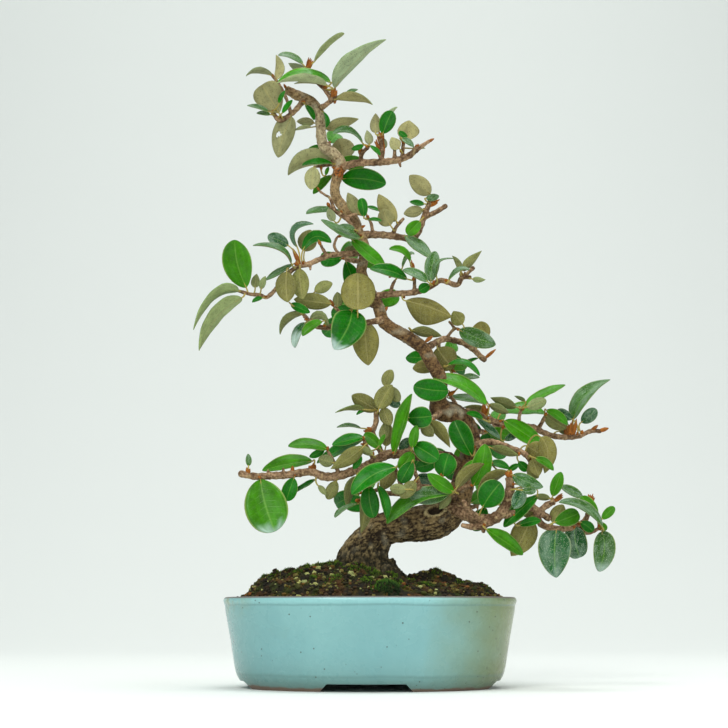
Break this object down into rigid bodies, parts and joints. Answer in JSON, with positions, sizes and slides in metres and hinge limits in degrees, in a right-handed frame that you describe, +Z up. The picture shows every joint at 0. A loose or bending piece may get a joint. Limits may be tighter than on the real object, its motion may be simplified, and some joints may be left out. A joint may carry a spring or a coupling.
{
  "type": "potted bonsai tree",
  "caption": "Small silverberry bonsai with a winding trunk and open leafy branches, standing in mounded soil in a low oval glazed pot on cut feet.",
  "frame": {"origin": "middle of the object's box in X and Y, at the height of the pot's feet", "axes": "+Z up; the front of the tree, as in the picture, faces -Y; +X is to the right seen from the front"},
  "size_m": [0.2784, 0.1596, 0.4383],
  "materials": {
    "glaze": "pale celadon blue glaze, satin gloss",
    "soil": "granular bonsai soil, matt",
    "mesh": "black moulded plastic net",
    "bark": "rough grey-brown bark",
    "foliage": "leathery leaves, glossy above and silvery scaled below"
  },
  "bodies": {
    "root": {"pot": "glaze", "soil": "soil", "drain_mesh_left": "mesh", "drain_mesh_right": "mesh", "trunk": "bark", "branch_left_low": "foliage", "spray_left_inner": "foliage", "spray_centre_upper": "foliage", "spray_centre_lower": "foliage", "branch_right_low": "foliage", "branch_right_outer": "foliage", "branch_right_long": "foliage", "spray_right_under": "foliage", "spray_right_inner": "foliage", "spray_left_middle": "foliage", "spray_right_middle": "foliage", "spray_left_high": "foliage", "spray_right_high": "foliage", "spray_collar": "foliage", "spray_upper_right": "foliage", "spray_shoulder": "foliage", "spray_crown_left": "foliage", "spray_crown_top": "foliage", "shoot_back_low_left": "foliage", "shoot_back_low_right": "foliage", "shoot_back_centre": "foliage", "shoot_back_right": "foliage", "shoot_back_middle": "foliage", "shoot_back_left": "foliage", "shoot_back_high": "foliage", "shoot_back_crown": "foliage"}
  },
  "joints": []
}
